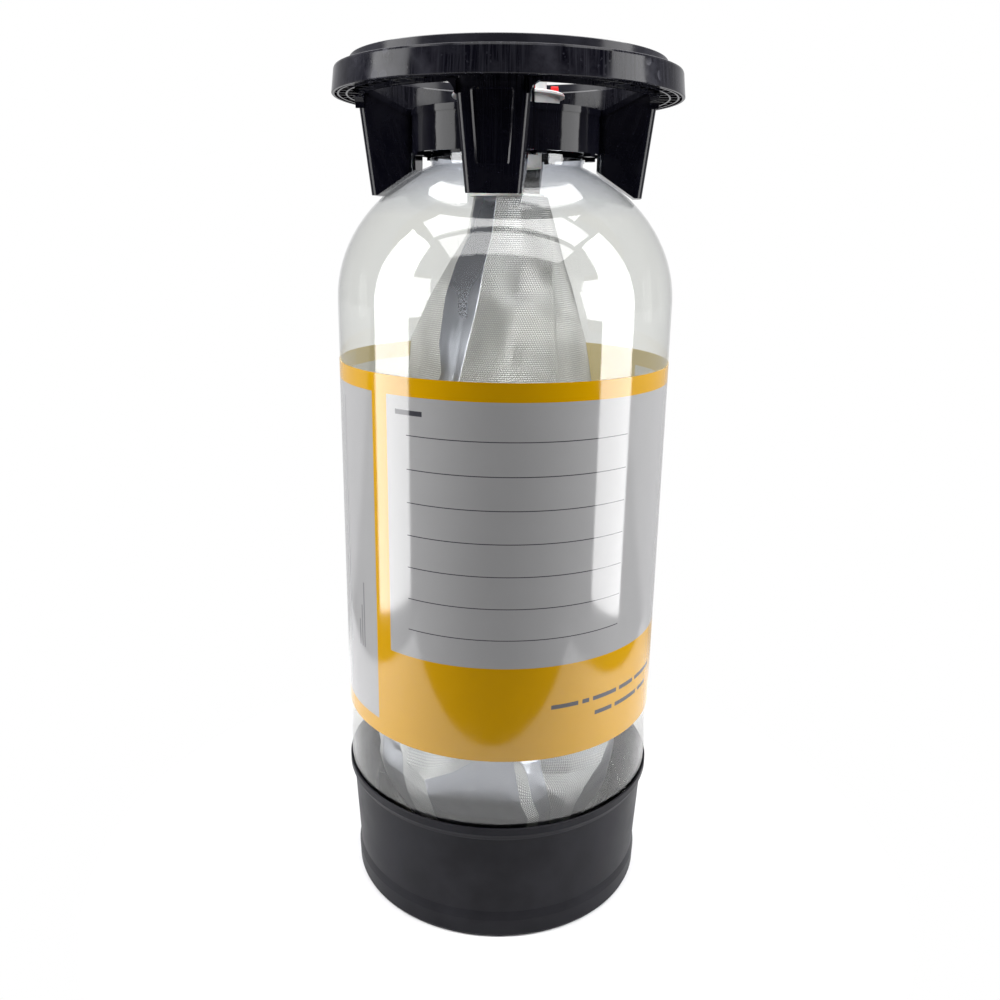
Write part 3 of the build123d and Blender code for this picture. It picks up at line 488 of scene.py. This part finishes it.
def make_bag(material):
    """The hanging film bag: flat folds between creases, slack and crumpled."""
    rows = fold_points()
    row_count, crease_count = rows.shape[:2]
    grid = []
    for row in range(row_count - 1):
        for step in range(BAG_STEPS):
            share = step / BAG_STEPS
            grid.append(rows[row] * (1 - share) + rows[row + 1] * share)
    grid.append(rows[-1])
    grid = np.array(grid)
    after = np.roll(grid, -1, axis=1)
    share = (np.arange(BAG_STEPS) / BAG_STEPS)[None, None, :, None]
    fine = grid[:, :, None, :] * (1 - share) + after[:, :, None, :] * share
    chord = np.linalg.norm(after - grid, axis=-1)[:, :, None]
    outward = fine * np.array([1.0, 1.0, 0.0])
    outward /= np.linalg.norm(outward, axis=-1, keepdims=True)
    slack = film_slack(row_count, crease_count)
    lift = FILM_BULGE * slack[:, :, None] * chord * 4 * share[..., 0] * (1 - share[..., 0])
    fine = (fine + outward * lift[..., None]).reshape(len(grid), -1, 3)
    outward = outward.reshape(fine.shape)

    side = np.linalg.norm(np.roll(fine, -1, axis=1) - fine, axis=-1)
    u = np.concatenate([np.zeros((len(fine), 1)), np.cumsum(side, axis=1)], axis=1)
    anchor = MAP_CREASE * BAG_STEPS
    u -= u[:, anchor:anchor + 1]
    drop = np.linalg.norm(np.diff(fine, axis=0), axis=-1).mean(axis=1)
    v = np.concatenate([[0.0], np.cumsum(drop)])[:, None] * np.ones_like(u)
    ease = np.interp(v[:, :-1], CRUMPLE_STARTS, CRUMPLE_SHARES)
    ease *= np.clip((fine[..., 2] - CRUMPLE_FLOOR_Z) / CRUMPLE_FLOOR_RISE, 0, 1)
    seam = np.minimum(1.0, np.minimum(u - u[:, :1], u[:, -1:] - u) / CRUMPLE_SEAM)[:, :-1]
    ease *= np.repeat(0.25 + 0.75 * slack, BAG_STEPS, axis=1)
    fine = fine + outward * (crumple(u[:, :-1] * 1000, v[:, :-1] * 1000) * ease * seam)[..., None]

    width = fine.shape[1]
    points = fine.reshape(-1, 3).tolist()
    faces = []
    cells = []
    finishes = []
    smooth = np.zeros((row_count, crease_count), bool)
    for first_row, last_row, first, last in SMOOTH_FOLDS:
        smooth[first_row:last_row + 1, first:last + 1] = True
    for i in range(len(fine) - 1):
        for j in range(width):
            k = (j + 1) % width
            faces.append((i * width + j, (i + 1) * width + j, (i + 1) * width + k, i * width + k))
            cells += [(u[i, j], v[i, j]), (u[i + 1, j], v[i + 1, j]),
                      (u[i + 1, j + 1], v[i + 1, j + 1]), (u[i, j + 1], v[i, j + 1])]
            mark = 0.0 if smooth[i // BAG_STEPS, j // BAG_STEPS] else 1.0
            finishes += [(mark, 0.0)] * 4

    # Close the top onto the spout and the bottom to its middle.
    for row, (radius, z), below in ((0, TOP_RIM, False), (len(fine) - 1, BOTTOM_RIM, True)):
        first = len(points)
        for j in range(width):
            out = outward[row, j]
            points.append((out[0] * radius, out[1] * radius, z))
        for j in range(width):
            k = (j + 1) % width
            face = (row * width + j, first + j, first + k, row * width + k)
            faces.append(face if below else face[::-1])
            cells += [(0.0, 0.0)] * 4
            finishes += [(0.0, 0.0)] * 4
    mesh = bpy.data.meshes.new("film_bag")
    mesh.from_pydata(points, [], faces)
    for name, values in ((FILM_MAP, cells), (FINISH_MAP, finishes)):
        layer = mesh.uv_layers.new(name=name)
        layer.data.foreach_set("uv", np.array(values, np.float32).ravel())
    mesh.polygons.foreach_set("use_smooth", [True] * len(faces))
    mesh.materials.append(material)
    mesh.update()
    bag = bpy.data.objects.new("film_bag", mesh)
    bpy.context.scene.collection.objects.link(bag)
    shell = bag.modifiers.new("film", "SOLIDIFY")
    shell.thickness = FILM_THICK
    shell.offset = -1.0
    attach(bag, "keg_body")
    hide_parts("inner_bag")


# ---- Springs: round-wire coils in place of the CAD springs ------------------------------------
# Node, body, joint, middle and wire radius, low and high z in mm, turns, offset along X, travel.
SPRINGS = (
    ("gas_spring", "keg_body", "gas_valve_slide", 16.0, 0.9, 548.05, 582.95, 6, 0.0, 5.0),
    ("beer_spring", "gas_valve_group", "beer_plunger_slide", 5.6, 0.5, 566.55, 584.45, 7, 0.0, 4.0),
    ("relief_spring", "keg_body", "relief_slide", 1.75, 0.22, 591.15, 594.15, 3, 28.4, 1.2),
)
COIL_STEPS = 40
WIRE_SIDES = 12


def coil_mesh(name, middle_r, wire_r, low_z, high_z, turns, middle_x):
    """Round wire wound round an upright axis, closed at both ends; millimetres in, metres out."""
    count = turns * COIL_STEPS + 1
    turn = np.linspace(0, 2 * math.pi * turns, count)
    rise = (high_z - low_z - 2 * wire_r) / (2 * math.pi * turns)
    slope = math.atan2(rise, middle_r)
    side = 2 * math.pi * np.arange(WIRE_SIDES) / WIRE_SIDES
    out = np.stack([np.cos(turn), np.sin(turn), 0 * turn], axis=-1)[:, None, :]
    tangent = np.stack([-np.sin(turn), np.cos(turn), 0 * turn], axis=-1)[:, None, :]
    upward = np.array([0, 0, math.cos(slope)]) - tangent * math.sin(slope)
    middle = out * middle_r
    middle[..., 2] = (low_z + wire_r + rise * turn)[:, None]
    ring = out * np.cos(side)[None, :, None] + upward * np.sin(side)[None, :, None]
    points = middle + ring * wire_r
    points[..., 0] += middle_x
    points = (points.reshape(-1, 3) / 1000).tolist()
    faces = []
    for i in range(count - 1):
        for j in range(WIRE_SIDES):
            k = (j + 1) % WIRE_SIDES
            a = i * WIRE_SIDES
            b = a + WIRE_SIDES
            faces.append((a + j, a + k, b + k, b + j))
    last = (count - 1) * WIRE_SIDES
    faces.append(tuple(range(WIRE_SIDES)[::-1]))
    faces.append(tuple(last + j for j in range(WIRE_SIDES)))
    mesh = bpy.data.meshes.new(name)
    mesh.from_pydata(points, [], faces)
    smooth = [True] * (len(faces) - 2) + [False, False]
    mesh.polygons.foreach_set("use_smooth", smooth)
    mesh.update()
    return mesh


def make_springs(material):
    for node, body, joint, middle_r, wire_r, low_z, high_z, turns, middle_x, travel in SPRINGS:
        name = node + "_coil"
        mesh = coil_mesh(name, middle_r, wire_r, low_z, high_z, turns, middle_x)
        mesh.materials.append(material)
        coil = bpy.data.objects.new(name, mesh)
        bpy.context.scene.collection.objects.link(coil)
        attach(coil, body)
        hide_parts(node)
        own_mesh(coil)


# ---- Dressing the CAD nodes -----------------------------------------------------------------
def give(node, material):
    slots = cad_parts[node].material_slots
    for slot in slots:
        slot.material = material


def dress_nodes():
    handle = gloss_black()
    cup = moulded_plastic("cup_plastic", (0.0062, 0.0062, 0.0088), 0.42, 1500.0, 0.03, gloss=0.10)
    white = moulded_plastic("closure_white", (0.48, 0.485, 0.49), 0.34, 900.0, 0.0, 0.15)
    natural = moulded_plastic("natural_plastic", (0.72, 0.72, 0.68), 0.40, 900.0, 0.0, 0.25)
    grey = moulded_plastic("valve_grey", (0.20, 0.21, 0.23), 0.36, 900.0)
    red = moulded_plastic("relief_red", (0.66, 0.012, 0.012), 0.30, 900.0)
    seal = rubber()
    dress = {
        handle: [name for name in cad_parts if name.startswith("handle")],
        cup: ["base_cup"],
        white: ["closure_cap"],
        natural: ["bag_spout", "flow_tube", "valve_body", "spring_retainer"],
        grey: ["gas_valve", "beer_plunger"],
        red: ["relief_plug"],
        seal: ["relief_seal", "neck_gasket", "body_seal", "gas_seal", "beer_seal",
               "sleeve_o_ring", "spout_o_ring"],
        clear_pet(): ["pet_bottle"],
        label_print(): ["label_wrap"],
    }
    for material, nodes in dress.items():
        for node in nodes:
            give(node, material)


# ---- Studio ---------------------------------------------------------------------------------
ROOM_FRONT = rgba(0.085, 0.080, 0.085)
ROOM_BACK = rgba(0.62, 0.62, 0.63)
# How far the floor reaches, and the white sheet on it that reflections show.
FLOOR_HALF = 6.0
SHEET_HALF = 0.50
SHEET_FRONT_Y = -0.39
SHEET_GLOW_YS = (0.30, 0.40)
# The camera sees the floor's shading fade to plain white between these radii.
SHADOW_RADII = (0.15, 0.33)
# Name, place, the point that it faces, size along X or Y, size along Y or Z, and watts.
TENT_LIGHTS = (
    ("left_wall", (-0.665, -0.19, 0.56), (0, -0.19, 0.56), 0.35, 1.12, 10.6),
    ("right_wall", (0.665, -0.19, 0.56), (0, -0.19, 0.56), 0.32, 1.12, 9.8),
    ("roof_front", (0.025, -0.54, 1.10), (0.025, -0.54, 0), 1.14, 0.31, 5.0),
    ("roof_middle", (0.025, -0.2075, 1.10), (0.025, -0.2075, 0), 1.13, 0.235, 5.2),
    ("roof_back", (0.02, 0.165, 1.10), (0.02, 0.165, 0), 0.84, 0.43, 7.4),
)


def area_light(name, place, aim, width, height, power):
    data = bpy.data.lights.new(name, "AREA")
    data.shape = "RECTANGLE"
    data.size = width
    data.size_y = height
    data.energy = power
    light = bpy.data.objects.new(name, data)
    light.rotation_euler = (place - aim).to_track_quat("Z", "Y").to_euler()
    light.location = place
    light.visible_camera = False
    bpy.context.scene.collection.objects.link(light)
    return light


def make_floor():
    """White to the camera with a soft shadow near the cup; in reflections, a white sheet."""
    mesh = bpy.data.meshes.new("floor")
    half = FLOOR_HALF
    corners = [(-half, -half, 0), (half, -half, 0), (half, half, 0), (-half, half, 0)]
    mesh.from_pydata(corners, [], [(0, 1, 2, 3)])
    floor = bpy.data.objects.new("floor", mesh)
    bpy.context.scene.collection.objects.link(floor)
    g = Graph("floor")
    x, y, _ = g.axes()
    distance = g.math("SQRT", g.math("MULTIPLY_ADD", x, x, g.math("MULTIPLY", y, y)))
    sheet = g.math("MULTIPLY", g.math("LESS_THAN", g.math("ABSOLUTE", x), SHEET_HALF),
                   g.math("GREATER_THAN", y, SHEET_FRONT_Y))
    tint = g.mix(sheet, rgba(0.03, 0.03, 0.033), rgba(0.85, 0.85, 0.86))
    matt = g.add("BsdfDiffuse", Color=tint)
    plain = g.add("Emission", Color=rgba(1.0, 1.0, 1.0), Strength=1.0)
    seen = g.add("LightPath").outputs["Is Camera Ray"]
    away = g.math("MULTIPLY", seen, g.ramp(distance, *SHADOW_RADII))
    glow = g.add("Emission", Color=rgba(0.62, 0.62, 0.63), Strength=1.0)
    behind = g.add("MixShader")
    g.put(behind.inputs[0], g.ramp(y, *SHEET_GLOW_YS))
    g.put(behind.inputs[1], matt.outputs[0])
    g.put(behind.inputs[2], glow.outputs[0])
    shader = g.add("MixShader")
    g.put(shader.inputs[0], away)
    g.put(shader.inputs[1], behind.outputs[0])
    g.put(shader.inputs[2], plain.outputs[0])
    mesh.materials.append(g.finish(shader.outputs[0]))


def make_world():
    """White to the camera; in reflections, a dark front and grey sides, like a light tent."""
    world = bpy.data.worlds.new("world")
    world.use_nodes = True
    tree = world.node_tree
    background = tree.nodes["Background"]
    path = tree.nodes.new("ShaderNodeLightPath")
    towards = tree.nodes.new("ShaderNodeTexCoord")
    split = tree.nodes.new("ShaderNodeSeparateXYZ")
    tree.links.new(towards.outputs["Generated"], split.inputs[0])
    depth = tree.nodes.new("ShaderNodeMapRange")
    depth.inputs["From Min"].default_value = 0.10
    depth.inputs["From Max"].default_value = 0.90
    tree.links.new(split.outputs["Y"], depth.inputs["Value"])
    room = tree.nodes.new("ShaderNodeMix")
    room.data_type = "RGBA"
    room.inputs["A"].default_value = ROOM_FRONT
    room.inputs["B"].default_value = ROOM_BACK
    tree.links.new(depth.outputs["Result"], room.inputs["Factor"])
    mix = tree.nodes.new("ShaderNodeMix")
    mix.data_type = "RGBA"
    mix.inputs["B"].default_value = rgba(1.0, 1.0, 1.0)
    tree.links.new(room.outputs["Result"], mix.inputs["A"])
    tree.links.new(path.outputs["Is Camera Ray"], mix.inputs["Factor"])
    tree.links.new(mix.outputs["Result"], background.inputs["Color"])
    bpy.context.scene.world = world


def make_lights():
    """A light tent: two side walls and a roof in three panels, turned with the camera."""
    turn = Matrix.Rotation(math.radians(CAMERA_AZIMUTH), 4, "Z")
    for name, place, aim, width, depth, power in TENT_LIGHTS:
        area_light(name, turn @ Vector(place), turn @ Vector(aim), width, depth, power)


bpy.context.scene.view_settings.view_transform = "Standard"
make_camera()
dress_nodes()
make_bag(bag_film())
make_springs(spring_wire())
make_floor()
make_world()
make_lights()
